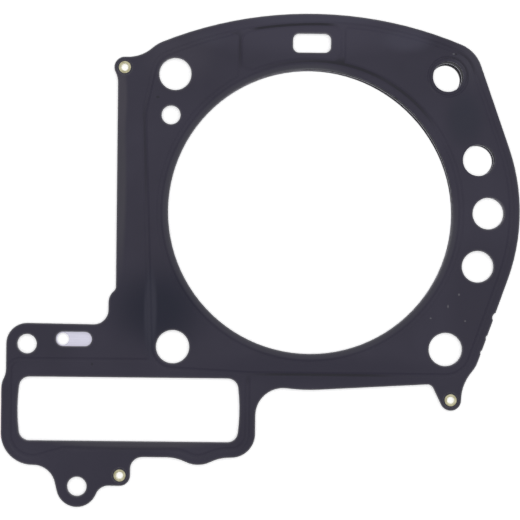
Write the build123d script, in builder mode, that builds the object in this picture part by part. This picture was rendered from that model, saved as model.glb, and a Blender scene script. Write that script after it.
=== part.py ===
from build123d import *
import math
import os
from typing import NamedTuple

# Cylinder head gasket of a water-cooled single-cylinder engine with a timing-chain tunnel.
# Three steel sheets: two coated ones whose sealing beads are formed inwards, and a bare core
# between them. Three hollow rivets hold them together at small ears.
# Millimetres. The origin is on the bore axis in the lower face, +Z comes out of the upper face,
# +X points to the row of coolant holes and +Y to the coolant slot.

# Sheets, from one outer face to the other
coated_sheet = 0.25
core_sheet = 0.20
bead_height = 0.20

# Cylinder bore
bore_radius = 51.25

# Cylinder studs, at the corners of a square. Oil rises round the upper right one.
stud_half_pitch = 49.1
upper_left_stud_radius = 5.8
oil_stud_radius = 5.45
lower_stud_radius = 6.0
stud_land = 12.5

# Coolant holes at the right, one on the axis and one each side of it
coolant_radius = 5.7
coolant_side_land = 6.45
coolant_side_angle = 17.6
coolant_middle_land = 7.15

# Coolant slot above the bore
slot_land = 6.0
slot_length = 13.65
slot_width = 6.9
slot_corner = 2.2

# Oil gallery hole
oil_x = -50.5
oil_y = 34.35
oil_radius = 3.4

# Small bolt holes in the two ears of the tunnel
ear_bolt_radius = 3.5
left_ear_x = -101.5
left_ear_y = -48.55
left_ear_land = 7.45
lower_ear_x = -83.05
lower_ear_y = -99.75
lower_ear_land = 7.4

# Bleed slot through the coated sheets, and the round hole in the core at its left end
bleed_x = -84.65
bleed_y = -46.7
bleed_length = 13.0
bleed_width = 5.2
bleed_core_radius = 2.15

# Chain tunnel window, with its short sides bowed outwards
tunnel_left = -104.3
tunnel_right = -25.25
tunnel_bottom = -83.35
tunnel_top = -60.35
tunnel_corner = 3.8
tunnel_bow = 0.45

# Outer outline, upper part. The crown clears the slot by its land and the stud lands by its rise.
crown_land = 7.1
crown_least_rise = 8.0
bulge_rise = 13.8
bulge_radius = 70.7
flange_width = 12.9
left_edge = -69.7
step_out = 2.6
step_y = -33.35
step_radius = 5.4
step_hollow = 2.0
ledge_y = -41.35
ledge_hollow = 5.3

# Outer outline, round the tunnel
tunnel_edge_left = -110.6
tunnel_edge_bottom = -92.15
tunnel_edge_corner = 11.4
side_sweep_y = -64.65
side_sweep = 8.0
lower_ear_hollow = 8.0
lower_ear_hollow_x = -98.8
lower_ledge_y = -99.35
lower_ledge_hollow = 4.9
tunnel_shelf_y = -88.95
tunnel_shelf_hollow = 4.4
bump_x = -39.6
bump_y = -81.35
bump_radius = 10.2
bump_hollow = 16.0
tunnel_edge_right = -19.05
tunnel_right_bottom = -88.85
tunnel_right_corner = 8.6
throat_hollow = 10.0

# Ears of the hollow rivets, each placed from the stud, bolt hole or edge beside it
rivet_ear = 3.75
upper_rivet_inset = 2.4
upper_rivet_rise = 2.25
upper_ear_hollow = 13.3
upper_ear_edge_hollow = 8.5
lower_rivet_reach = 15.35
lower_rivet_rise = 4.1
right_rivet_offset = 2.1
right_rivet_drop = 3.2
right_ear_hollow = 2.4
right_ear_hollow_reach = 8.4
right_ear_flank = 16.0

# Hollow rivets, with a mouth that opens out at each end
rivet_hole = 1.25
rivet_wall = 0.3
rivet_head = 2.15
rivet_head_thickness = 0.2
rivet_flare = 0.35
rivet_clearance = 0.05
rivet_seat = 2.6

# Formed beads: half widths at the open side, and the run of each sloping wall
bead_half_width = 1.1
bead_slope = 0.8
bead_junction = 1.5
bore_bead_land = 3.15
bore_bead_half_width = 1.2
bore_bead_slope = 0.85
stud_bead_radius = 6.95
stud_bead_half_width = 0.6
stud_bead_slope = 0.4
seat_slope = 0.35

# Course of the bead round the coolant space
bead_inset = 2.9
crown_bead_inset = 3.7
upper_left_bead_radius = 7.9
oil_bead_radius = 9.6
lower_left_bead_radius = 8.1
bead_corner = 5.0
bead_corner_x = -20.3

# Course of the bead round the tunnel
tunnel_bead_left = -107.7
tunnel_bead_top = -54.35
tunnel_bead_bottom = -86.15
tunnel_bead_corner = 3.5
tunnel_bead_hollow = 8.0
tunnel_bead_hollow_x = -86.3

# Cell of the bead round the coolant slot, which stands on the bore's bead
slot_cell_left = -25.9
slot_cell_right = 11.3
slot_cell_round = 3.5

# Nicks in the lower right edge: height on the edge, radius and depth of each
nick_upper_y = -37.05
nick_upper_radius = 2.0
nick_upper_depth = 0.6
nick_middle_y = -44.55
nick_middle_radius = 1.1
nick_middle_depth = 0.3
nick_lower_y = -49.95
nick_lower_radius = 1.0
nick_lower_depth = 0.3

# Heights of the stack
core_bottom = coated_sheet + bead_height
core_top = core_bottom + core_sheet
upper_inner_face = core_top + bead_height
upper_face = upper_inner_face + coated_sheet
mid_plane = upper_face / 2


class Turn(NamedTuple):
    """One round stretch of a line walked with the metal on its left; a hollow has a radius below 0."""

    x: float
    y: float
    radius: float


def heading(first, second):
    """Direction, in degrees, of the straight run that touches two turns."""
    across = second.x - first.x
    up = second.y - first.y
    lean = (second.radius - first.radius) / math.hypot(across, up)
    return math.degrees(math.atan2(up, across) - math.asin(round(lean, 9)))


def walk(turns):
    """Draw the closed line round the turns: an arc on each, and their common tangents between."""
    departures = [heading(turn, following) for turn, following in zip(turns, turns[1:] + turns[:1])]
    arrivals = departures[-1:] + departures[:-1]
    arcs = []
    for turn, arrival, departure in zip(turns, arrivals, departures):
        side = math.copysign(1, turn.radius)
        sweep = side * ((side * (departure - arrival)) % 360)
        arcs.append(CenterArc((turn.x, turn.y), abs(turn.radius), arrival - 90 * side, sweep))
    for arc, following in zip(arcs, arcs[1:] + arcs[:1]):
        if (following @ 0 - arc @ 1).length > 1e-4:
            Line(arc @ 1, following @ 0)


def hollow_between(first, second, radius):
    """Hollow that rolls off one round land and onto the next, on the outer side of both."""
    across = second.x - first.x
    up = second.y - first.y
    span = math.hypot(across, up)
    first_reach = first.radius + radius
    second_reach = second.radius + radius
    along = (first_reach**2 - second_reach**2 + span**2) / (2 * span)
    out = math.sqrt(first_reach**2 - along**2)
    x = first.x + (along * across + out * up) / span
    y = first.y + (along * up - out * across) / span
    return Turn(x, y, -radius)


def hollow_above(land, radius, x):
    """Hollow against a round land, its centre at this x and above the land's."""
    return Turn(x, land.y + math.sqrt((land.radius + radius) ** 2 - (x - land.x) ** 2), -radius)


def hollow_below(land, radius, x):
    """Hollow against a round land, its centre at this x and below the land's."""
    return Turn(x, land.y - math.sqrt((land.radius + radius) ** 2 - (x - land.x) ** 2), -radius)


def hollow_beside(land, radius, y, side):
    """Hollow against a round land, its centre at this y, to the right (1) or left (-1) of it."""
    away = math.sqrt((land.radius + radius) ** 2 - (y - land.y) ** 2)
    return Turn(land.x + side * away, y, -radius)


def arch_over(first, second, top):
    """Round stretch that rolls off one land, reaches this height and rolls onto the next land."""
    first_room = 2 * (top - first.y - first.radius)
    second_room = 2 * (top - second.y - second.radius)
    first_power = first.x**2 + (top - first.y) ** 2 - first.radius**2
    second_power = second.x**2 + (top - second.y) ** 2 - second.radius**2
    square = second_room - first_room
    single = 2 * (second.x * first_room - first.x * second_room)
    rest = first_power * second_room - second_power * first_room
    x = 2 * rest / (math.sqrt(single**2 - 4 * square * rest) - single)
    radius = (first_power - 2 * x * first.x + x**2) / first_room
    return Turn(x, top - radius, radius)


def inward(turn, distance):
    """The same turn on a line that runs this far inside."""
    return Turn(turn.x, turn.y, turn.radius - distance)


# Lands that several lines share
slot_y = bore_radius + slot_land + slot_width / 2
bulge = Turn(stud_half_pitch + stud_land + bulge_rise - bulge_radius, 0, bulge_radius)
flange = Turn(0, 0, bore_radius + flange_width)
upper_right_stud = Turn(stud_half_pitch, stud_half_pitch, stud_land)
upper_left_stud = Turn(-stud_half_pitch, stud_half_pitch, stud_land)
lower_right_stud = Turn(stud_half_pitch, -stud_half_pitch, stud_land)
crown_over_slot = slot_y + slot_width / 2 + crown_land
crown_over_studs = stud_half_pitch + stud_land + crown_least_rise
crown_top = max(crown_over_slot, crown_over_studs)
crown = arch_over(upper_right_stud, upper_left_stud, crown_top)
upper_ear = Turn(left_edge + upper_rivet_inset, stud_half_pitch + upper_rivet_rise, rivet_ear)
lower_ear = Turn(lower_ear_x + lower_rivet_reach, lower_ear_y + lower_rivet_rise, rivet_ear)
right_ear = Turn(stud_half_pitch + right_rivet_offset, -flange.radius - right_rivet_drop, rivet_ear)
left_bolt_ear = Turn(left_ear_x, left_ear_y, left_ear_land)
lower_bolt_ear = Turn(lower_ear_x, lower_ear_y, lower_ear_land)
step = Turn(left_edge - step_out + step_radius, step_y, step_radius)
side_shoulder = Turn(tunnel_edge_left + side_sweep, side_sweep_y, side_sweep)
tunnel_lower_left = Turn(
    tunnel_edge_left + tunnel_edge_corner, tunnel_edge_bottom + tunnel_edge_corner, tunnel_edge_corner
)
bump = Turn(bump_x, bump_y, bump_radius)
tunnel_lower_right = Turn(
    tunnel_edge_right - tunnel_right_corner, tunnel_right_bottom + tunnel_right_corner, tunnel_right_corner
)

# The outer outline, anticlockwise from the bulge beside the coolant holes
outline_turns = [
    bulge,
    upper_right_stud,
    crown,
    upper_left_stud,
    hollow_between(upper_left_stud, upper_ear, upper_ear_hollow),
    upper_ear,
    hollow_below(upper_ear, upper_ear_edge_hollow, left_edge - upper_ear_edge_hollow),
    hollow_above(step, step_hollow, left_edge - step_hollow),
    step,
    Turn(left_edge - step_out - ledge_hollow, ledge_y + ledge_hollow, -ledge_hollow),
    left_bolt_ear,
    hollow_above(side_shoulder, side_sweep, left_ear_x - left_ear_land - side_sweep),
    side_shoulder,
    tunnel_lower_left,
    hollow_below(tunnel_lower_left, lower_ear_hollow, lower_ear_hollow_x),
    lower_bolt_ear,
    hollow_beside(lower_bolt_ear, lower_ledge_hollow, lower_ledge_y - lower_ledge_hollow, 1),
    lower_ear,
    Turn(
        lower_ear.x + rivet_ear + tunnel_shelf_hollow,
        tunnel_shelf_y - tunnel_shelf_hollow,
        -tunnel_shelf_hollow,
    ),
    hollow_beside(bump, bump_hollow, tunnel_shelf_y - bump_hollow, -1),
    bump,
    hollow_between(bump, tunnel_lower_right, bump_hollow),
    tunnel_lower_right,
    hollow_below(flange, throat_hollow, tunnel_edge_right + throat_hollow),
    flange,
    Turn(right_ear.x - right_ear_hollow_reach, -flange.radius, -right_ear_hollow),
    right_ear,
    hollow_between(right_ear, lower_right_stud, right_ear_flank),
    lower_right_stud,
]

# Chain tunnel window: each short side is a long arc into which two corners roll
tunnel_middle = (tunnel_bottom + tunnel_top) / 2
corner_rise = (tunnel_top - tunnel_bottom) / 2 - tunnel_corner
side_radius = (corner_rise**2 + tunnel_bow**2) / (2 * tunnel_bow)
corner_reach = math.sqrt((side_radius - tunnel_corner) ** 2 - corner_rise**2)
left_side = Turn(tunnel_left - tunnel_bow + side_radius, tunnel_middle, side_radius)
right_side = Turn(tunnel_right + tunnel_bow - side_radius, tunnel_middle, side_radius)
tunnel_turns = [
    right_side,
    Turn(right_side.x + corner_reach, tunnel_middle + corner_rise, tunnel_corner),
    Turn(left_side.x - corner_reach, tunnel_middle + corner_rise, tunnel_corner),
    left_side,
    Turn(left_side.x - corner_reach, tunnel_middle - corner_rise, tunnel_corner),
    Turn(right_side.x + corner_reach, tunnel_middle - corner_rise, tunnel_corner),
]

# Bead round the coolant space: it follows the edge, then the left web and the lower studs
upper_right_bead = inward(upper_right_stud, bead_inset)
upper_left_bead = Turn(-stud_half_pitch, stud_half_pitch, upper_left_bead_radius)
coolant_bead_turns = [
    inward(bulge, bead_inset),
    upper_right_bead,
    arch_over(upper_right_bead, upper_left_bead, crown_top - crown_bead_inset),
    upper_left_bead,
    Turn(oil_x, oil_y, oil_bead_radius),
    Turn(-stud_half_pitch, -stud_half_pitch, lower_left_bead_radius),
    Turn(bead_corner_x, lower_right_stud.y - stud_land + bead_inset + bead_corner, bead_corner),
    inward(lower_right_stud, bead_inset),
]

# Bead round the tunnel, which runs up into the coolant bead on both sides
tunnel_bead_bump = inward(bump, bead_inset)
tunnel_bead_right = inward(tunnel_lower_right, bead_inset)
bead_bump_hollow = bump_hollow + bead_inset
tunnel_bead_turns = [
    Turn(
        tunnel_bead_right.x + tunnel_bead_right.radius - tunnel_bead_corner,
        tunnel_bead_top - tunnel_bead_corner,
        tunnel_bead_corner,
    ),
    Turn(tunnel_bead_left + tunnel_bead_corner, tunnel_bead_top - tunnel_bead_corner, tunnel_bead_corner),
    inward(tunnel_lower_left, bead_inset),
    Turn(tunnel_bead_hollow_x, tunnel_bead_bottom - tunnel_bead_hollow, -tunnel_bead_hollow),
    hollow_beside(tunnel_bead_bump, bead_bump_hollow, tunnel_bead_bottom - bead_bump_hollow, -1),
    tunnel_bead_bump,
    hollow_between(tunnel_bead_bump, tunnel_bead_right, bead_bump_hollow),
    tunnel_bead_right,
]

bore_bead_radius = bore_radius + bore_bead_land
rivets = {
    "rivet_upper_left": (upper_ear.x, upper_ear.y),
    "rivet_lower_left": (lower_ear.x, lower_ear.y),
    "rivet_lower_right": (right_ear.x, right_ear.y),
}
oil_stud = (stud_half_pitch, stud_half_pitch)
lower_studs = [(-stud_half_pitch, -stud_half_pitch), (stud_half_pitch, -stud_half_pitch)]
coolant_side_orbit = bore_radius + coolant_side_land + coolant_radius
coolant_side_x = coolant_side_orbit * math.cos(math.radians(coolant_side_angle))
coolant_side_y = coolant_side_orbit * math.sin(math.radians(coolant_side_angle))
coolant_holes = [
    (coolant_side_x, -coolant_side_y),
    (bore_radius + coolant_middle_land + coolant_radius, 0),
    (coolant_side_x, coolant_side_y),
]
bleed_core = (bleed_x - (bleed_length - bleed_width) / 2, bleed_y)


def right_edge_x(y):
    """Where the straight lower right edge is at this height."""
    lean = math.radians(heading(lower_right_stud, bulge))
    foot_x = lower_right_stud.x + stud_land * math.sin(lean)
    foot_y = lower_right_stud.y - stud_land * math.cos(lean)
    return foot_x + (y - foot_y) / math.tan(lean)


def nick(y, radius, depth):
    """Centre and radius of the circle that bites this deep into the lower right edge."""
    lean = math.radians(heading(lower_right_stud, bulge))
    out = radius - depth
    return Turn(right_edge_x(y) + out * math.sin(lean), y - out * math.cos(lean), radius)


nicks = [
    nick(nick_upper_y, nick_upper_radius, nick_upper_depth),
    nick(nick_middle_y, nick_middle_radius, nick_middle_depth),
    nick(nick_lower_y, nick_lower_radius, nick_lower_depth),
]

# The blank that all three sheets share: the outline and every hole that goes through them all
with BuildSketch() as blank:
    with BuildLine():
        walk(outline_turns)
    make_face()
    for bite in nicks:
        with Locations((bite.x, bite.y)):
            Circle(bite.radius, mode=Mode.SUBTRACT)
    Circle(bore_radius, mode=Mode.SUBTRACT)
    with Locations((-stud_half_pitch, stud_half_pitch)):
        Circle(upper_left_stud_radius, mode=Mode.SUBTRACT)
    with Locations(oil_stud):
        Circle(oil_stud_radius, mode=Mode.SUBTRACT)
    with Locations(*lower_studs):
        Circle(lower_stud_radius, mode=Mode.SUBTRACT)
    with Locations(*coolant_holes):
        Circle(coolant_radius, mode=Mode.SUBTRACT)
    with Locations((0, slot_y)):
        RectangleRounded(slot_length, slot_width, slot_corner, mode=Mode.SUBTRACT)
    with Locations((oil_x, oil_y)):
        Circle(oil_radius, mode=Mode.SUBTRACT)
    with Locations((left_ear_x, left_ear_y), (lower_ear_x, lower_ear_y)):
        Circle(ear_bolt_radius, mode=Mode.SUBTRACT)
    with BuildLine():
        walk(tunnel_turns)
    make_face(mode=Mode.SUBTRACT)

# Cells that the bead lines close off
with BuildSketch() as coolant_cell:
    with BuildLine():
        walk(coolant_bead_turns)
    make_face()

with BuildSketch() as tunnel_cell:
    with BuildLine():
        walk(tunnel_bead_turns)
    make_face()

with BuildSketch() as slot_cell:
    with Locations(((slot_cell_left + slot_cell_right) / 2, 0)):
        Rectangle(slot_cell_right - slot_cell_left, crown.y + crown.radius, align=(Align.CENTER, Align.MIN))
    Circle(bore_bead_radius, mode=Mode.SUBTRACT)


def around(region, half_width, rounding):
    """The region and half a bead all round it, with its inner corners rounded."""
    outside = offset(region, amount=half_width + rounding, mode=Mode.PRIVATE)
    return offset(outside, amount=-rounding, mode=Mode.PRIVATE)


def inside(region, half_width, rounding):
    """The region less half a bead all round, with its outer corners rounded."""
    middle = offset(region, amount=-half_width - rounding, mode=Mode.PRIVATE)
    return offset(middle, amount=rounding, mode=Mode.PRIVATE)


def bead_outlines(half_width):
    """Outer outline of the bead lines where they are this wide, then the cells that they close off."""
    coolant = coolant_cell.sketch
    tunnel = tunnel_cell.sketch
    slot = slot_cell.sketch
    return [
        around(coolant + tunnel, half_width, bead_junction),
        inside(coolant - slot, half_width, bead_junction),
        inside(coolant & slot, half_width, slot_cell_round),
        inside(tunnel - coolant, half_width, bead_junction),
    ]


def wall_angle(run):
    """Slope of a bead's wall, from the face that it starts in."""
    return math.degrees(math.atan(run / bead_height))


# What the press moves inwards, drawn below its own face: bead lines, ring beads and rivet seats
with BuildPart() as pressed:
    in_face = bead_outlines(bead_half_width)
    in_depth = bead_outlines(bead_half_width - bead_slope)
    for number, (upper, lower) in enumerate(zip(in_face, in_depth)):
        with BuildSketch():
            add(upper)
        with BuildSketch(Plane.XY.offset(-bead_height)):
            add(lower)
        loft(ruled=True, mode=Mode.SUBTRACT if number else Mode.ADD)
    with BuildSketch():
        Circle(bore_bead_radius + bore_bead_half_width)
        Circle(bore_bead_radius - bore_bead_half_width, mode=Mode.SUBTRACT)
    extrude(amount=-bead_height, taper=wall_angle(bore_bead_slope))
    with BuildSketch():
        with Locations(oil_stud):
            Circle(stud_bead_radius + stud_bead_half_width)
            Circle(stud_bead_radius - stud_bead_half_width, mode=Mode.SUBTRACT)
    extrude(amount=-bead_height, taper=wall_angle(stud_bead_slope))
    with BuildSketch():
        with Locations(*rivets.values()):
            Circle(rivet_seat + seat_slope)
    extrude(amount=-bead_height, taper=wall_angle(seat_slope))

rivet_bore = rivet_hole + rivet_wall + rivet_clearance

with BuildPart() as top_layer:
    with BuildSketch(Plane.XY.offset(upper_inner_face)):
        add(blank.sketch)
        with Locations((bleed_x, bleed_y)):
            SlotOverall(bleed_length, bleed_width, mode=Mode.SUBTRACT)
    extrude(amount=coated_sheet)
    add(pressed.part.moved(Location((0, 0, upper_inner_face))))
    add(pressed.part.moved(Location((0, 0, upper_face))), mode=Mode.SUBTRACT)
    with Locations(*rivets.values()):
        Hole(rivet_bore)
top_layer.part.label = "top_layer"

with BuildPart() as bottom_layer:
    mirror(top_layer.part, about=Plane.XY.offset(mid_plane))
bottom_layer.part.label = "bottom_layer"

with BuildPart() as middle_layer:
    with BuildSketch(Plane.XY.offset(core_bottom)):
        add(blank.sketch)
        with Locations(bleed_core):
            Circle(bleed_core_radius, mode=Mode.SUBTRACT)
        with Locations(*rivets.values()):
            Circle(rivet_bore, mode=Mode.SUBTRACT)
    extrude(amount=core_sheet)
middle_layer.part.label = "middle_layer"

os.makedirs("parts", exist_ok=True)
export_step(top_layer.part, "parts/top_layer.step")
export_step(middle_layer.part, "parts/middle_layer.step")
export_step(bottom_layer.part, "parts/bottom_layer.step")

# Hollow rivet: a tube with a flat head turned out at each end and a mouth that opens into each head
barrel_radius = rivet_hole + rivet_wall
mouth_radius = rivet_hole + rivet_flare
seat_bottom = bead_height
seat_top = upper_face - bead_height
head_bottom = seat_bottom - rivet_head_thickness
head_top = seat_top + rivet_head_thickness

for name, (x, y) in rivets.items():
    with BuildPart() as rivet:
        with BuildSketch(Plane.XZ.offset(-y)):
            with BuildLine():
                Polyline(
                    (x + mouth_radius, head_top),
                    (x + rivet_head, head_top),
                    (x + rivet_head, seat_top),
                    (x + barrel_radius, seat_top),
                    (x + barrel_radius, seat_bottom),
                    (x + rivet_head, seat_bottom),
                    (x + rivet_head, head_bottom),
                    (x + mouth_radius, head_bottom),
                    (x + rivet_hole, head_bottom + rivet_flare),
                    (x + rivet_hole, head_top - rivet_flare),
                    close=True,
                )
            make_face()
        revolve(axis=Axis((x, y, 0), (0, 0, 1)))
    rivet.part.label = name
    export_step(rivet.part, f"parts/{name}.step")
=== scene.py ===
"""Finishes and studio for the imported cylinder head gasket.

The frame holds three stamped steel sheets and three hollow rivets at their real size. This script
gives every sheet and rivet its finish, fans the two lower sheets out where no rivet holds them, and
sets up a plain pale studio with the camera straight above. Lengths are in metres.
"""

import logging
import math
from dataclasses import dataclass, field
from enum import Enum

import bmesh
import bpy
import numpy as np
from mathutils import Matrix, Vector


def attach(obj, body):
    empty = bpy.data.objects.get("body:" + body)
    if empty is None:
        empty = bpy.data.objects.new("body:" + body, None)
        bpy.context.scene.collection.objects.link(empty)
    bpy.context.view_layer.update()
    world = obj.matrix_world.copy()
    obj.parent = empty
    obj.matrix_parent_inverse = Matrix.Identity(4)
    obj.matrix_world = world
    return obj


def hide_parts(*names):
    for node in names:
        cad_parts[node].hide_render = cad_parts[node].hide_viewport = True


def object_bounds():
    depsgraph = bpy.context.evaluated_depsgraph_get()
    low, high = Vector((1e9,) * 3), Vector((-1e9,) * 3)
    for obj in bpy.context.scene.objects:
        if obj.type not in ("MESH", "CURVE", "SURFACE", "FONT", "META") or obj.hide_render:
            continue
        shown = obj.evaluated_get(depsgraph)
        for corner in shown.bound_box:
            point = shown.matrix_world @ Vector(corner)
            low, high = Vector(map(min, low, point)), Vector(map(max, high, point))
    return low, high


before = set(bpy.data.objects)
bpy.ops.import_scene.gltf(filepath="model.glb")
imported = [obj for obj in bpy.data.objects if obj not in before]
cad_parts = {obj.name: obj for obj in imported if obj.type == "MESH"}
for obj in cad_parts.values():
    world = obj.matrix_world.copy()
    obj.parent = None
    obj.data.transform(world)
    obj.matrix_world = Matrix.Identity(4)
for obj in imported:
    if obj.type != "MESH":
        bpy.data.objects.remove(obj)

CAD_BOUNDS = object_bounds()
MM = 0.001

Colour = tuple[float, float, float, float]
# A link is a node's socket, and a feed is what an input takes: a socket to link or a value of its own.
Link = bpy.types.NodeSocket
Feed = Link | float | tuple[float, ...]

log = logging.getLogger("gasket")


class Layer(Enum):
    """The three sheets of the stack, by the name of their node."""

    TOP = "top_layer"
    MIDDLE = "middle_layer"
    BOTTOM = "bottom_layer"


class Eyelet(Enum):
    """The three hollow rivets, by the name of their node."""

    UPPER_LEFT = "rivet_upper_left"
    LOWER_LEFT = "rivet_lower_left"
    LOWER_RIGHT = "rivet_lower_right"


class Socket(Enum):
    """Kinds of socket that a shared node group has."""

    NUMBER = "NodeSocketFloat"
    VECTOR = "NodeSocketVector"


def linear(red: int, green: int, blue: int) -> Colour:
    """Turn a screen colour of 0 to 255 into the shader's linear colour.

    The screen's curve is a straight line for the darkest tones and a power of 2.4 above them.

    Args:
        red: Red of the screen colour.
        green: Green of the screen colour.
        blue: Blue of the screen colour.

    Returns:
        Linear red, green, blue and an alpha of 1.
    """
    steps = np.array([red, green, blue], float) / 255
    light = np.where(steps <= 0.04045, steps / 12.92, ((steps + 0.055) / 1.055) ** 2.4)
    return (*light.tolist(), 1.0)


class Wiring:
    """Adds nodes to one node tree and links their sockets."""

    def __init__(self, tree: bpy.types.NodeTree) -> None:
        """Keep the tree that the nodes go into."""
        self.tree = tree

    def add(
        self, kind: str, values: dict[str | int, Feed] | None = None, **settings: object
    ) -> bpy.types.Node:
        """Add a node.

        Args:
            kind: The node's type, without its ShaderNode prefix.
            values: Numbers, colours or sockets for its inputs, by input name or number.
            **settings: Properties of the node itself.

        Returns:
            The new node.
        """
        node = self.tree.nodes.new("ShaderNode" + kind)
        for name, setting in settings.items():
            setattr(node, name, setting)
        for name, value in (values or {}).items():
            self.feed(node.inputs[name], value)
        return node

    def feed(self, target: Link, value: Feed) -> None:
        """Link a socket to an input, or set the input's own value.

        Args:
            target: The input.
            value: The socket or the value.
        """
        if isinstance(value, Link):
            self.tree.links.new(value, target)
        else:
            target.default_value = value

    def calc(self, operation: str, first: Feed, second: Feed = 0.0) -> Link:
        """Return the result of one Math node."""
        return self.add("Math", {0: first, 1: second}, operation=operation).outputs[0]

    def arrow(self, operation: str, first: Feed, second: Feed) -> Link:
        """Return the vector that one Vector Math node works out."""
        node = self.add("VectorMath", {0: first, 1: second}, operation=operation)
        return node.outputs["Vector"]

    def dot(self, first: Link, second: Link) -> Link:
        """Return the dot product of two vectors."""
        node = self.add("VectorMath", {0: first, 1: second}, operation="DOT_PRODUCT")
        return node.outputs["Value"]

    def length(self, vector: Link) -> Link:
        """Return the length of a vector."""
        return self.add("VectorMath", {0: vector}, operation="LENGTH").outputs["Value"]

    def level(self, vector: Link) -> Link:
        """Return a vector without its height."""
        return self.arrow("MULTIPLY", vector, (1.0, 1.0, 0.0))

    def height(self, vector: Link) -> Link:
        """Return the height of a vector."""
        return self.add("SeparateXYZ", {"Vector": vector}).outputs["Z"]

    def span(self, value: Feed, low: float, high: float, to_low: float = 0.0, to_high: float = 1.0) -> Link:
        """Return a value mapped from one range to another and held inside it."""
        given = {"Value": value, "From Min": low, "From Max": high, "To Min": to_low, "To Max": to_high}
        return self.add("MapRange", given).outputs["Result"]

    def blend(self, share: Feed, first: Feed, second: Feed) -> Link:
        """Mix two colours.

        Args:
            share: Share of the second colour, from 0 to 1.
            first: The first colour.
            second: The second colour.

        Returns:
            The mixed colour.
        """
        node = self.add("Mix", {"Factor": share}, data_type="RGBA")
        self.feed(node.inputs[6], first)
        self.feed(node.inputs[7], second)
        return node.outputs[2]

    def group(self, tree: bpy.types.NodeTree, values: dict[str, Feed]) -> bpy.types.NodeOutputs:
        """Place a shared group.

        Args:
            tree: The group.
            values: What its inputs take, by name.

        Returns:
            The group's outputs.
        """
        node = self.tree.nodes.new("ShaderNodeGroup")
        node.node_tree = tree
        for name, value in values.items():
            self.feed(node.inputs[name], value)
        return node.outputs


def new_group(
    name: str, inputs: dict[str, Socket], outputs: dict[str, Socket]
) -> tuple[Wiring, bpy.types.NodeOutputs, bpy.types.NodeInputs]:
    """Make an empty shared node group.

    Args:
        name: Name of the group.
        inputs: Kind of each input socket, by name.
        outputs: Kind of each output socket, by name.

    Returns:
        The wiring of the group, the sockets that it is given and the sockets that it puts out.
    """
    tree = bpy.data.node_groups.new(name, "ShaderNodeTree")
    for label, kind in inputs.items():
        tree.interface.new_socket(label, in_out="INPUT", socket_type=kind.value)
    for label, kind in outputs.items():
        tree.interface.new_socket(label, in_out="OUTPUT", socket_type=kind.value)
    given = tree.nodes.new("NodeGroupInput").outputs
    result = tree.nodes.new("NodeGroupOutput").inputs
    return Wiring(tree), given, result


def empty_material(name: str) -> tuple[bpy.types.Material, Wiring]:
    """Make a material without nodes.

    Args:
        name: Name of the material.

    Returns:
        The material and its wiring.
    """
    material = bpy.data.materials.new(name)
    material.use_nodes = True
    material.node_tree.nodes.clear()
    return material, Wiring(material.node_tree)


def add_object(name: str, data: bpy.types.ID) -> bpy.types.Object:
    """Put a new object into the scene.

    Args:
        name: Name of the object.
        data: Its mesh, lamp or lens.

    Returns:
        The object.
    """
    item = bpy.data.objects.new(name, data)
    bpy.context.scene.collection.objects.link(item)
    return item


@dataclass(frozen=True)
class Noise:
    """A noise texture, and the part of its range that is stretched over 0 to 1."""

    detail: float
    roughness: float
    low: float
    high: float

    def tone(self, wires: Wiring, place: Link, scale: Link) -> Link:
        """Build the noise.

        Args:
            wires: Wiring of the material or group.
            place: Coordinates that the noise is read at.
            scale: Cells a metre.

        Returns:
            The noise as a tone of 0 to 1.
        """
        given = {"Vector": place, "Scale": scale, "Detail": self.detail, "Roughness": self.roughness}
        return wires.span(wires.add("TexNoise", given).outputs[0], self.low, self.high)


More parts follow.
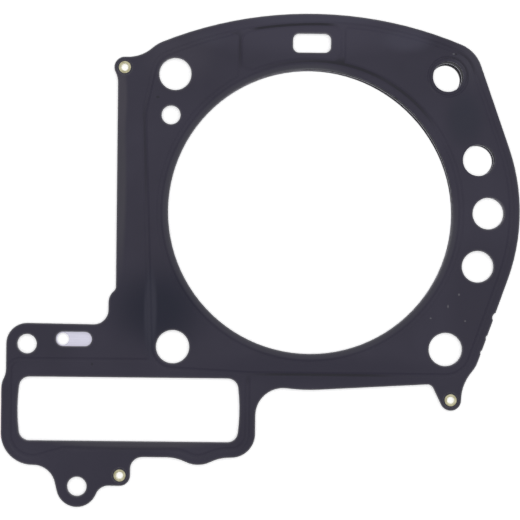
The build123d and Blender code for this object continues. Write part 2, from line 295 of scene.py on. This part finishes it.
@dataclass
class SurfaceEffects:
    """The effects that more than one finish uses, each a shared node group.

    A surface counts as a wall as the height of its normal falls through wall_lean, and as a rim as the
    dot product of its true and its rounded normal falls through rim_turn.
    """

    cloud: Noise = Noise(detail=3.0, roughness=0.55, low=0.3, high=0.7)
    grain: Noise = Noise(detail=2.0, roughness=0.6, low=0.25, high=0.75)
    dashes: Noise = Noise(detail=2.0, roughness=0.7, low=0.38, high=0.56)
    mill_lines: Noise = Noise(detail=3.0, roughness=0.6, low=0.3, high=0.7)
    mill_stretch: tuple[float, float, float] = (0.06, 1.0, 1.0)
    wall_lean: tuple[float, float] = (0.45, 0.25)
    rim_turn: tuple[float, float] = (0.95, 0.84)
    skin: bpy.types.NodeTree = field(init=False)
    edge: bpy.types.NodeTree = field(init=False)
    mark: bpy.types.NodeTree = field(init=False)
    rolling: bpy.types.NodeTree = field(init=False)

    def __post_init__(self) -> None:
        """Build every group once."""
        self.skin = self.build_skin()
        self.edge = self.build_edge()
        self.mark = self.build_mark()
        self.rolling = self.build_rolling()

    def build_skin(self) -> bpy.types.NodeTree:
        """Build the cloudy tone and the fine grain of a sprayed or rolled-on skin.

        Returns:
            A group whose Cloud is a slow tone of 0 to 1 and whose Grain is a fine one.
        """
        wires, given, result = new_group(
            "skin",
            {"Place": Socket.VECTOR, "Cloud Scale": Socket.NUMBER, "Grain Scale": Socket.NUMBER},
            {"Cloud": Socket.NUMBER, "Grain": Socket.NUMBER},
        )
        wires.feed(result["Cloud"], self.cloud.tone(wires, given["Place"], given["Cloud Scale"]))
        wires.feed(result["Grain"], self.grain.tone(wires, given["Place"], given["Grain Scale"]))
        return wires.tree

    def build_edge(self) -> bpy.types.NodeTree:
        """Build the masks of a sheet's cut wall and of the rubbed line where the wall meets a face.

        Returns:
            A group whose Wall is 1 on upright walls, whose Line is 1 where the rounded normal leans
            away from the face, and whose Rim is that line broken up into dashes by a noise.
        """
        wires, given, result = new_group(
            "cut_edge",
            {
                "Place": Socket.VECTOR,
                "Face": Socket.VECTOR,
                "Rounded": Socket.VECTOR,
                "Dash Scale": Socket.NUMBER,
            },
            {"Wall": Socket.NUMBER, "Line": Socket.NUMBER, "Rim": Socket.NUMBER},
        )
        upright = wires.calc("ABSOLUTE", wires.height(given["Face"]))
        wires.feed(result["Wall"], wires.span(upright, *self.wall_lean))
        line = wires.span(wires.dot(given["Face"], given["Rounded"]), *self.rim_turn)
        wires.feed(result["Line"], line)
        dashes = self.dashes.tone(wires, given["Place"], given["Dash Scale"])
        wires.feed(result["Rim"], wires.calc("MULTIPLY", line, dashes))
        return wires.tree

    def build_mark(self) -> bpy.types.NodeTree:
        """Build the mask of one soft-edged oval patch.

        Returns:
            A group whose Mask fades from 1 inside Core to 0 at Reach, along X and along Y from Centre.
            Core is a share of Reach.
        """
        wires, given, result = new_group(
            "mark",
            {
                "Place": Socket.VECTOR,
                "Centre": Socket.VECTOR,
                "Reach": Socket.VECTOR,
                "Core": Socket.NUMBER,
            },
            {"Mask": Socket.NUMBER},
        )
        apart = wires.level(wires.arrow("SUBTRACT", given["Place"], given["Centre"]))
        share = wires.length(wires.arrow("DIVIDE", apart, given["Reach"]))
        bounds = {"Value": share, "From Min": 1.0, "From Max": given["Core"]}
        fade = wires.add("MapRange", bounds, interpolation_type="SMOOTHSTEP")
        wires.feed(result["Mask"], fade.outputs["Result"])
        return wires.tree

    def build_rolling(self) -> bpy.types.NodeTree:
        """Build the fine lines that a rolling mill leaves along a bare sheet.

        Returns:
            A group whose Lines is a tone of 0 to 1, drawn out along X.
        """
        wires, given, result = new_group(
            "rolling",
            {"Place": Socket.VECTOR, "Scale": Socket.NUMBER},
            {"Lines": Socket.NUMBER},
        )
        stretched = wires.arrow("MULTIPLY", given["Place"], self.mill_stretch)
        wires.feed(result["Lines"], self.mill_lines.tone(wires, stretched, given["Scale"]))
        return wires.tree


class Draft:
    """One material while it is being built, with the shared effects at hand."""

    def __init__(self, name: str, effects: SurfaceEffects) -> None:
        """Start a material with a Principled BSDF, Object coordinates and the surface's geometry.

        Args:
            name: Name of the material.
            effects: The shared node groups.
        """
        self.effects = effects
        self.material, self.wires = empty_material(name)
        self.shader = self.wires.add("BsdfPrincipled")
        self.wires.add("OutputMaterial", {"Surface": self.shader.outputs["BSDF"]})
        self.place = self.wires.add("TexCoord").outputs["Object"]
        self.geometry = self.wires.add("NewGeometry").outputs

    def set(self, name: str, value: Feed) -> None:
        """Feed one input of the Principled BSDF."""
        self.wires.feed(self.shader.inputs[name], value)

    def skin(self, cloud_scale: float, grain_scale: float) -> bpy.types.NodeOutputs:
        """Return the Cloud and the Grain of a skin, with their scales in cells a metre."""
        given = {"Place": self.place, "Cloud Scale": cloud_scale, "Grain Scale": grain_scale}
        return self.wires.group(self.effects.skin, given)

    def rounded(self, radius: float, samples: int) -> Link:
        """Return the normal that the surface has with its edges rounded by a radius."""
        return self.wires.add("Bevel", {"Radius": radius}, samples=samples).outputs["Normal"]

    def edge(self, radius: float, samples: int, dash_scale: float) -> bpy.types.NodeOutputs:
        """Build the masks of the sheet's cut edges.

        Args:
            radius: Radius that the rim is rounded by.
            samples: Samples of the rounded normal.
            dash_scale: Dashes of the rubbed rim, in cells a metre.

        Returns:
            The Wall, the Line and the Rim.
        """
        given = {
            "Place": self.place,
            "Face": self.geometry["True Normal"],
            "Rounded": self.rounded(radius, samples),
            "Dash Scale": dash_scale,
        }
        return self.wires.group(self.effects.edge, given)

    def roughen(self, tone: Link, smooth: float, rough: float) -> None:
        """Let the roughness go from smooth to rough as a tone goes from 0 to 1."""
        self.set("Roughness", self.wires.span(tone, 0.0, 1.0, smooth, rough))

    def emboss(self, tone: Link, depth: float) -> None:
        """Raise the surface by a depth as a tone goes from 0 to 1."""
        bump = self.wires.add("Bump", {"Height": tone, "Distance": depth, "Strength": 1.0})
        self.set("Normal", bump.outputs["Normal"])


@dataclass(frozen=True)
class Oval:
    """A soft-edged oval of one sheet, placed and sized in millimetres."""

    x: float
    y: float
    reach_x: float
    reach_y: float
    core: float = 0.3

    def mask(self, draft: Draft) -> Link:
        """Build the oval's mask.

        Args:
            draft: The material that the oval lies in.

        Returns:
            A value of 1 in the oval's core that fades to 0 at its reach.
        """
        centre = (self.x * MM, self.y * MM, 0.0)
        reach = (self.reach_x * MM, self.reach_y * MM, 1.0)
        given = {"Place": draft.place, "Centre": centre, "Reach": reach, "Core": self.core}
        return draft.wires.group(draft.effects.mark, given)["Mask"]


@dataclass(frozen=True)
class Patch(Oval):
    """An oval with a tone of its own."""

    tone: Colour = field(kw_only=True)

    def cover(self, draft: Draft, colour: Feed, within: Feed = 1.0) -> Link:
        """Lay the patch over a colour.

        Args:
            draft: The material that the patch lies in.
            colour: The colour under the patch.
            within: A mask that the patch keeps to.

        Returns:
            The colour with the patch.
        """
        share = draft.wires.calc("MULTIPLY", self.mask(draft), within)
        return draft.wires.blend(share, colour, self.tone)


# Tones of the upper face: the dark lower left is painted shade, the sheen and the strips along the edges
# are painted sheen, the grooves' tones are painted shade, and the scuffs and pits are real wear.
LOWER_LEFT_SHADE_TONE = linear(8, 10, 34)
SHEEN_TONE = linear(53, 51, 67)
EDGE_SHEEN_TONE = linear(55, 53, 63)
SCUFF_TONE = linear(86, 85, 92)
PIT_TONE = linear(27, 26, 37)
GROOVE_SHADE_TONE = linear(20, 18, 31)
FAINT_GROOVE_SHADE_TONE = linear(31, 28, 43)

# Areas of the upper face, the large ones first: the darker ones are painted shade and the lighter ones
# painted sheen; the small ones are real scuffs and pits.
UPPER_FACE_SHADE_SHEEN_AND_SCUFFS = (
    Patch(-54.5, -35.5, 25.0, 21.0, tone=LOWER_LEFT_SHADE_TONE, core=0.15),
    Patch(-57.2, -36.5, 2.9, 19.0, tone=linear(37, 37, 53), core=0.5),
    Patch(55.3, 34.0, 9.0, 13.0, tone=linear(33, 33, 49)),
    Patch(2.0, -57.0, 62.0, 7.0, tone=linear(36, 33, 50)),
    Patch(60.0, -30.0, 16.0, 34.0, tone=linear(38, 35, 51)),
    Patch(-2.0, 65.0, 50.0, 12.0, tone=linear(51, 48, 64)),
    Patch(0.0, 69.8, 34.0, 3.0, tone=SHEEN_TONE, core=0.5),
    Patch(-64.0, -84.0, 34.0, 2.4, tone=EDGE_SHEEN_TONE, core=0.5),
    Patch(34.0, 62.4, 12.0, 6.0, tone=SHEEN_TONE),
    Patch(-51.5, 58.4, 7.0, 4.0, tone=SHEEN_TONE, core=0.1),
    Patch(-38.0, 61.8, 11.0, 4.5, tone=linear(50, 48, 63), core=0.1),
    Patch(-68.3, 9.5, 2.6, 38.0, tone=EDGE_SHEEN_TONE, core=0.4),
    Patch(-68.3, 40.0, 2.6, 17.0, tone=linear(58, 55, 66), core=0.4),
    Patch(59.0, 56.0, 11.0, 14.0, tone=linear(51, 49, 62), core=0.1),
    Patch(-48.0, 55.0, 18.0, 13.0, tone=linear(49, 46, 60), core=0.2),
    Patch(51.0, 57.3, 0.55, 0.45, tone=SCUFF_TONE),
    Patch(51.8, 57.2, 0.6, 0.5, tone=PIT_TONE),
    Patch(53.8, -29.3, 0.5, 0.6, tone=SCUFF_TONE),
    Patch(49.9, -33.6, 0.4, 0.8, tone=SCUFF_TONE),
    Patch(43.7, -37.9, 0.5, 0.4, tone=SCUFF_TONE),
    Patch(56.1, -38.8, 0.5, 0.4, tone=SCUFF_TONE),
    Patch(-55.3, 40.7, 0.9, 0.6, tone=PIT_TONE),
    Patch(-78.0, -55.6, 0.5, 0.7, tone=PIT_TONE),
)

# Areas in which the bottoms of the pressed grooves are darker, painted shade.
GROOVE_SHADES = (
    Patch(-7.0, 67.0, 17.0, 5.0, tone=GROOVE_SHADE_TONE, core=0.7),
    Patch(8.0, 50.5, 28.0, 6.0, tone=GROOVE_SHADE_TONE, core=0.5),
    Patch(-27.0, 58.0, 4.0, 9.0, tone=FAINT_GROOVE_SHADE_TONE, core=0.3),
    Patch(28.0, 36.0, 19.0, 17.0, tone=linear(25, 23, 36), core=0.5),
    Patch(53.0, 52.5, 7.5, 7.5, tone=FAINT_GROOVE_SHADE_TONE, core=0.5),
    Patch(-62.5, 18.0, 5.0, 32.0, tone=FAINT_GROOVE_SHADE_TONE, core=0.5),
    Patch(5.0, -60.8, 32.0, 4.8, tone=GROOVE_SHADE_TONE, core=0.6),
    Patch(-64.0, -79.0, 46.0, 9.0, tone=FAINT_GROOVE_SHADE_TONE, core=0.6),
)


@dataclass(frozen=True)
class CoatedFinish:
    """Thin dark rubber coating on steel, bare where the sheet was cut.

    The land round the bore is a little lighter towards the bore, a painted sheen.
    Each of the groove shades darkens the pressed grooves of one area with painted shade, from
    groove_shade_top to groove_shade_bottom below the outer face. The face inside the stack is nearly black,
    painted shade between the sheets, up to inner_top from it. A border along every edge is lighter by
    border_share, a painted highlight, as the dot product of the true and the rounded normal falls through
    border_turn. Neither the border nor the land shows in the plain corner.
    """

    name: str
    light_tone: Colour = linear(46, 43, 59)
    dark_tone: Colour = linear(37, 34, 50)
    land_sheen_tone: Colour = linear(55, 54, 64)
    border_highlight_tone: Colour = linear(90, 89, 94)
    rubbed_tone: Colour = linear(132, 130, 142)
    wall_tone: Colour = linear(88, 86, 96)
    inner_shade_tone: Colour = linear(20, 19, 26)
    land_outer: float = 53.8 * MM
    land_inner: float = 51.5 * MM
    sheet: float = 0.25 * MM
    groove_shade_top: float = 0.12 * MM
    groove_shade_bottom: float = 0.20 * MM
    inner_top: float = 0.04 * MM
    inner_bottom: float = 0.02 * MM
    cloud_scale: float = 26.0
    grain_scale: float = 2600.0
    dash_scale: float = 420.0
    rim_radius: float = 0.17 * MM
    rim_samples: int = 6
    border_radius: float = 1.1 * MM
    border_samples: int = 8
    border_turn: tuple[float, float] = (0.985, 0.75)
    grain_depth: float = 0.010 * MM
    smooth: float = 0.32
    rough: float = 0.42
    gloss: float = 0.22
    patches: tuple[Patch, ...] = ()
    groove_shades: tuple[Patch, ...] = ()
    border_share: float = 0.0
    plain_corner: Oval = Oval(36.0, 30.0, 42.0, 42.0, core=0.6)

    def shade(self, draft: Draft, colour: Link) -> Link:
        """Paint shade into the grooves' bottoms and onto the face inside the stack, by their height from
        mid-stack.

        Args:
            draft: The material.
            colour: The colour so far.

        Returns:
            The colour with the painted shade.
        """
        wires = draft.wires
        middle = (CAD_BOUNDS[0].z + CAD_BOUNDS[1].z) / 2
        outer_face = CAD_BOUNDS[1].z - middle
        inner_face = outer_face - self.sheet
        outward = wires.calc("ABSOLUTE", wires.calc("SUBTRACT", wires.height(draft.place), middle))
        # Painted shade in the bottoms of the pressed grooves.
        groove = wires.span(outward, outer_face - self.groove_shade_top, outer_face - self.groove_shade_bottom)
        for shade in self.groove_shades:
            colour = shade.cover(draft, colour, groove)
        # Painted shade, nearly black, on the face inside the stack between the sheets.
        inside = wires.span(outward, inner_face + self.inner_top, inner_face + self.inner_bottom)
        return wires.blend(inside, colour, self.inner_shade_tone)

    def paint_sheen_and_highlight(self, draft: Draft, colour: Link) -> Link:
        """Paint a sheen on the land round the bore and a highlight on the border along the edges, outside
        the plain corner.

        Args:
            draft: The material.
            colour: The colour so far.

        Returns:
            The colour with the painted sheen and the painted highlight.
        """
        wires = draft.wires
        shown = wires.calc("SUBTRACT", 1.0, self.plain_corner.mask(draft))
        # Painted sheen on the land round the bore.
        land = wires.span(wires.length(wires.level(draft.place)), self.land_outer, self.land_inner)
        colour = wires.blend(wires.calc("MULTIPLY", land, shown), colour, self.land_sheen_tone)
        # Painted highlight on a border along every edge.
        rounded = draft.rounded(self.border_radius, self.border_samples)
        along = wires.dot(draft.geometry["True Normal"], rounded)
        border = wires.span(along, *self.border_turn, 0.0, self.border_share)
        return wires.blend(wires.calc("MULTIPLY", border, shown), colour, self.border_highlight_tone)

    def build(self, effects: SurfaceEffects) -> bpy.types.Material:
        """Build the material.

        Args:
            effects: The shared node groups.

        Returns:
            The finished material.
        """
        draft = Draft(self.name, effects)
        wires = draft.wires
        skin = draft.skin(self.cloud_scale, self.grain_scale)
        edge = draft.edge(self.rim_radius, self.rim_samples, self.dash_scale)
        colour = wires.blend(skin["Cloud"], self.dark_tone, self.light_tone)
        # The patches lay painted shade, painted sheen and real scuffs and pits.
        for patch in self.patches:
            colour = patch.cover(draft, colour)
        colour = self.paint_sheen_and_highlight(draft, self.shade(draft, colour))
        colour = wires.blend(edge["Wall"], colour, self.wall_tone)
        colour = wires.blend(edge["Rim"], colour, self.rubbed_tone)
        draft.set("Base Color", colour)
        draft.set("Specular IOR Level", self.gloss)
        draft.set("Metallic", wires.calc("MAXIMUM", edge["Rim"], edge["Wall"]))
        draft.roughen(skin["Grain"], self.smooth, self.rough)
        draft.emboss(skin["Grain"], self.grain_depth)
        return draft.material


@dataclass(frozen=True)
class CoreFinish:
    """Core sheet, painted dark like its neighbours as painted shade under the top sheet.

    It is bare steel round the bleed slot and at its cut edges.
    """

    name: str
    light_tone: Colour = linear(208, 206, 222)
    dark_tone: Colour = linear(192, 190, 206)
    under_sheet_shade_tone: Colour = linear(18, 18, 26)
    rim_tone: Colour = linear(213, 211, 224)
    bare_spot: Oval = Oval(-84.65, -46.7, 13.0, 9.0, core=0.75)
    line_scale: float = 1800.0
    line_depth: float = 0.003 * MM
    dash_scale: float = 260.0
    rim_radius: float = 0.30 * MM
    rim_samples: int = 6
    shine: float = 0.35
    smooth: float = 0.30
    rough: float = 0.42

    def build(self, effects: SurfaceEffects) -> bpy.types.Material:
        """Build the material.

        Args:
            effects: The shared node groups.

        Returns:
            The finished material.
        """
        draft = Draft(self.name, effects)
        wires = draft.wires
        lines = wires.group(effects.rolling, {"Place": draft.place, "Scale": self.line_scale})["Lines"]
        steel = wires.blend(lines, self.dark_tone, self.light_tone)
        bare = self.bare_spot.mask(draft)
        edge = draft.edge(self.rim_radius, self.rim_samples, self.dash_scale)
        bare_edge = wires.calc("MAXIMUM", edge["Line"], edge["Wall"])
        # Painted shade under the top sheet, with the cut edges bare.
        colour = wires.blend(bare_edge, self.under_sheet_shade_tone, self.rim_tone)
        draft.set("Base Color", wires.blend(bare, colour, steel))
        draft.set("Metallic", wires.calc("MULTIPLY", bare, self.shine))
        draft.roughen(lines, self.smooth, self.rough)
        draft.emboss(lines, self.line_depth)
        return draft.material


@dataclass(frozen=True)
class BrassFinish:
    """Pale, slightly dull brass of the hollow rivets, with a painted highlight in the flared mouths.

    A surface counts as the mouth as the height of its normal falls through mouth_lean.
    """

    name: str
    light_tone: Colour = linear(170, 166, 140)
    dark_tone: Colour = linear(130, 126, 98)
    mouth_highlight_tone: Colour = linear(238, 235, 214)
    mouth_lean: tuple[float, float] = (0.95, 0.5)
    cloud_scale: float = 700.0
    grain_scale: float = 4000.0
    grain_depth: float = 0.006 * MM
    smooth: float = 0.26
    rough: float = 0.40

    def build(self, effects: SurfaceEffects) -> bpy.types.Material:
        """Build the material.

        Args:
            effects: The shared node groups.

        Returns:
            The finished material.
        """
        draft = Draft(self.name, effects)
        wires = draft.wires
        skin = draft.skin(self.cloud_scale, self.grain_scale)
        colour = wires.blend(skin["Cloud"], self.dark_tone, self.light_tone)
        lean = wires.calc("ABSOLUTE", wires.height(draft.geometry["Normal"]))
        # Painted highlight on the tilted faces of the flared mouths.
        colour = wires.blend(wires.span(lean, *self.mouth_lean), colour, self.mouth_highlight_tone)
        draft.set("Base Color", colour)
        draft.set("Metallic", 1.0)
        draft.roughen(skin["Grain"], self.smooth, self.rough)
        draft.emboss(skin["Grain"], self.grain_depth)
        return draft.material


def coat(piece: bpy.types.Object, finish: bpy.types.Material) -> None:
    """Put one finish on the whole of a piece."""
    piece.data.materials.clear()
    piece.data.materials.append(finish)


@dataclass
class SheetStack:
    """The three sheets. The lower two stand proud at the upper right, where no rivet holds them."""

    bore_angle: float = math.radians(48)
    web_angle: float = math.radians(38)
    bore_spread: float = math.radians(55)
    web_spread: float = math.radians(27)
    web_turn: float = 0.18
    bore_radius: float = 51.25 * MM
    web_radius: float = 60.0 * MM
    bottom_drift: float = 0.02594
    middle_drift: float = 0.01361
    bore_ease: float = 0.812
    weld_distance: float = 0.001 * MM

    def drift(self, points: np.ndarray, share: float) -> np.ndarray:
        """Move points of a sheet towards the bore's axis around the free corner.

        A point moves by share of its own distance from the axis, times a bell curve of the angle
        between it and the free corner. The bell is wide at the bore. Out in the web it is narrow and
        stands nearer to the coolant holes, and the bore's edge moves a little less than the web. The
        web's points aim aside of the axis, by web_turn of their own angle.

        Args:
            points: Points of the sheet, one row each.
            share: Share of the distance from the axis that a point at the free corner moves by.

        Returns:
            The moved points.
        """
        flat = points[:, 0] + 1j * points[:, 1]
        polar = np.angle(flat)
        outward = np.clip((np.abs(flat) - self.bore_radius) / (self.web_radius - self.bore_radius), 0, 1)
        centre = self.bore_angle + (self.web_angle - self.bore_angle) * outward
        spread = self.bore_spread + (self.web_spread - self.bore_spread) * outward
        ease = self.bore_ease + (1 - self.bore_ease) * outward
        angle = (polar - centre + math.pi) % (2 * math.pi) - math.pi
        weight = share * ease * np.exp(-((angle / spread) ** 2))
        flat = flat * (1 - weight * np.exp(1j * self.web_turn * outward * polar))
        moved = points.copy()
        moved[:, 0], moved[:, 1] = flat.real, flat.imag
        return moved

    def fan_out(self, layer: Layer, share: float) -> bpy.types.Object:
        """Make the fanned copy of a lower sheet, which stands for its node.

        Args:
            layer: The sheet.
            share: How far it drifts, as a share of the distance from the bore's axis.

        Returns:
            The new piece.
        """
        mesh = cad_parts[layer.value].data.copy()
        shape = bmesh.new()
        shape.from_mesh(mesh)
        bmesh.ops.remove_doubles(shape, verts=shape.verts, dist=self.weld_distance)
        shape.to_mesh(mesh)
        shape.free()
        points = np.empty(len(mesh.vertices) * 3, np.float32)
        mesh.vertices.foreach_get("co", points)
        moved = self.drift(points.reshape(-1, 3).astype(float), share)
        mesh.vertices.foreach_set("co", moved.astype(np.float32).ravel())
        mesh.update()
        piece = add_object("fanned_" + layer.value, mesh)
        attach(piece, "root")
        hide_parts(layer.value)
        return piece

    def dress(
        self, upper: bpy.types.Material, core: bpy.types.Material, lower: bpy.types.Material
    ) -> list[bpy.types.Object]:
        """Fan the lower sheets out and give every sheet its finish.

        Args:
            upper: Finish of the top sheet.
            core: Finish of the core sheet.
            lower: Finish of the bottom sheet.

        Returns:
            The sheets that show, from the top down.
        """
        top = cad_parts[Layer.TOP.value]
        middle = self.fan_out(Layer.MIDDLE, self.middle_drift)
        bottom = self.fan_out(Layer.BOTTOM, self.bottom_drift)
        for piece, finish in ((top, upper), (middle, core), (bottom, lower)):
            coat(piece, finish)
        return [top, middle, bottom]


@dataclass
class Rivets:
    """The three hollow brass rivets."""

    eyelets: tuple[Eyelet, ...] = tuple(Eyelet)

    def dress(self, brass: bpy.types.Material) -> list[bpy.types.Object]:
        """Give every rivet its finish.

        Args:
            brass: The finish.

        Returns:
            The rivets.
        """
        pieces = [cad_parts[eyelet.value] for eyelet in self.eyelets]
        for piece in pieces:
            coat(piece, brass)
        return pieces


@dataclass(frozen=True)
class Softbox:
    """A square area lamp that looks at the gasket.

    Its strength is its own brightness, where 1 lights a white surface to white if it fills the sky. Its
    power is that brightness times pi times its area.
    """

    name: str
    place: tuple[float, float, float]
    width: float
    brightness: float

    def build(self, target: Vector) -> bpy.types.Object:
        """Build the lamp.

        Args:
            target: The point that the lamp looks at.

        Returns:
            The lamp's object.
        """
        lamp = bpy.data.lights.new(self.name, "AREA")
        lamp.shape = "SQUARE"
        lamp.size = self.width
        lamp.energy = self.brightness * math.pi * self.width**2
        holder = add_object(self.name, lamp)
        holder.location = self.place
        holder.rotation_euler = (target - holder.location).to_track_quat("-Z", "Y").to_euler()
        holder.visible_camera = False
        return holder


@dataclass
class Studio:
    """Floor, lamps and the camera straight above the gasket.

    The bore's axis stands at bore_column and bore_row of the picture, counted in pixels from its upper
    left corner. Each pixel is pixel wide on the gasket's upper face.
    """

    image_width: float = 520.0
    bore_column: float = 310.36
    bore_row: float = 211.7
    pixel: float = 0.3599 * MM
    turn: float = math.radians(0.6)
    height: float = 0.62
    floor_width: float = 8.0
    floor_gap: float = 0.05 * MM
    floor_tone: Colour = linear(255, 255, 255)
    floor_glow: float = 0.26
    sky_brightness: float = 0.73
    softboxes: tuple[Softbox, ...] = (
        Softbox("ceiling_softbox", (0.04, 0.16, 1.5), 1.25, 0.66),
        Softbox("upper_right_softbox", (1.1, 1.0, 0.9), 0.9, 1.3),
    )

    def seen_as_white(self, wires: Wiring) -> Link:
        """Build the mask of the rays that see white.

        Args:
            wires: Wiring of the floor or the world.

        Returns:
            A value of 1 for a ray from the camera, a mirror or a glass, and of 0 for one that only lights.
        """
        path = wires.add("LightPath").outputs
        seen = wires.calc("MAXIMUM", path["Is Camera Ray"], path["Is Glossy Ray"])
        return wires.calc("MAXIMUM", seen, path["Is Transmission Ray"])

    def build_world(self) -> None:
        """Light the scene evenly from all sides, and show white to the camera and in reflections."""
        world = bpy.data.worlds.new("studio_air")
        world.use_nodes = True
        world.node_tree.nodes.clear()
        wires = Wiring(world.node_tree)
        strength = wires.span(self.seen_as_white(wires), 0.0, 1.0, self.sky_brightness, 1.0)
        air = wires.add("Background", {"Color": (1.0, 1.0, 1.0, 1.0), "Strength": strength})
        wires.add("OutputWorld", {"Surface": air.outputs["Background"]})
        bpy.context.scene.world = world

    def build_floor(self) -> bpy.types.Object:
        """Build the white floor, which keeps the gasket's shadow.

        Returns:
            The floor's object.
        """
        half = self.floor_width / 2
        corners = np.array([(-half, -half, 0), (half, -half, 0), (half, half, 0), (-half, half, 0)], float)
        corners[:, 2] = CAD_BOUNDS[0].z - self.floor_gap
        mesh = bpy.data.meshes.new("studio_floor")
        mesh.from_pydata(corners.tolist(), [], [(0, 1, 2, 3)])
        floor = add_object("studio_floor", mesh)
        material, wires = empty_material("studio_floor")
        matt = wires.add("BsdfDiffuse", {"Color": self.floor_tone})
        strength = wires.calc("MULTIPLY", self.seen_as_white(wires), self.floor_glow)
        glow = wires.add("Emission", {"Strength": strength})
        both = wires.add("AddShader", {0: matt.outputs[0], 1: glow.outputs[0]})
        wires.add("OutputMaterial", {"Surface": both.outputs[0]})
        mesh.materials.append(material)
        return floor

    def place_camera(self) -> bpy.types.Object:
        """Put the camera straight above, so that the upper face fills the frame as in the photograph.

        The image's middle lies across and down from the bore's axis, turned by the camera's own turn. The
        lens takes in the image's width at the camera's height over the upper face.

        Returns:
            The camera's object.
        """
        middle = self.image_width / 2
        across = (middle - self.bore_column) * self.pixel
        down = (middle - self.bore_row) * self.pixel
        x = across * math.cos(self.turn) + down * math.sin(self.turn)
        y = across * math.sin(self.turn) - down * math.cos(self.turn)
        lens = bpy.data.cameras.new("camera")
        lens.sensor_fit = "HORIZONTAL"
        lens.angle = 2 * math.atan(self.image_width * self.pixel / 2 / self.height)
        holder = add_object("camera", lens)
        holder.location = (x, y, CAD_BOUNDS[1].z + self.height)
        holder.rotation_euler = (0.0, 0.0, self.turn)
        bpy.context.scene.camera = holder
        return holder

    def build(self) -> list[bpy.types.Object]:
        """Build the whole studio.

        Returns:
            The floor, the lamps and the camera.
        """
        self.build_world()
        bpy.context.scene.view_settings.view_transform = "Standard"
        target = (CAD_BOUNDS[0] + CAD_BOUNDS[1]) / 2
        floor = self.build_floor()
        lamps = [softbox.build(target) for softbox in self.softboxes]
        return [floor, *lamps, self.place_camera()]


def main() -> None:
    """Dress the gasket, light it and report each piece."""
    logging.basicConfig(level=logging.INFO, format="%(name)s: %(message)s")
    effects = SurfaceEffects()
    upper_finish = CoatedFinish(
        "coated_upper_face", patches=UPPER_FACE_SHADE_SHEEN_AND_SCUFFS, groove_shades=GROOVE_SHADES, border_share=1.0
    )
    upper = upper_finish.build(effects)
    core = CoreFinish("core_steel").build(effects)
    lower = CoatedFinish("coated_sheet").build(effects)
    brass = BrassFinish("eyelet_brass").build(effects)
    for piece in SheetStack().dress(upper, core, lower) + Rivets().dress(brass):
        finish = piece.active_material.name
        log.info("%s: %d faces, finish %s", piece.name, len(piece.data.polygons), finish)
    for item in Studio().build():
        log.info("%s: part of the studio", item.name)


if __name__ == "__main__":
    main()
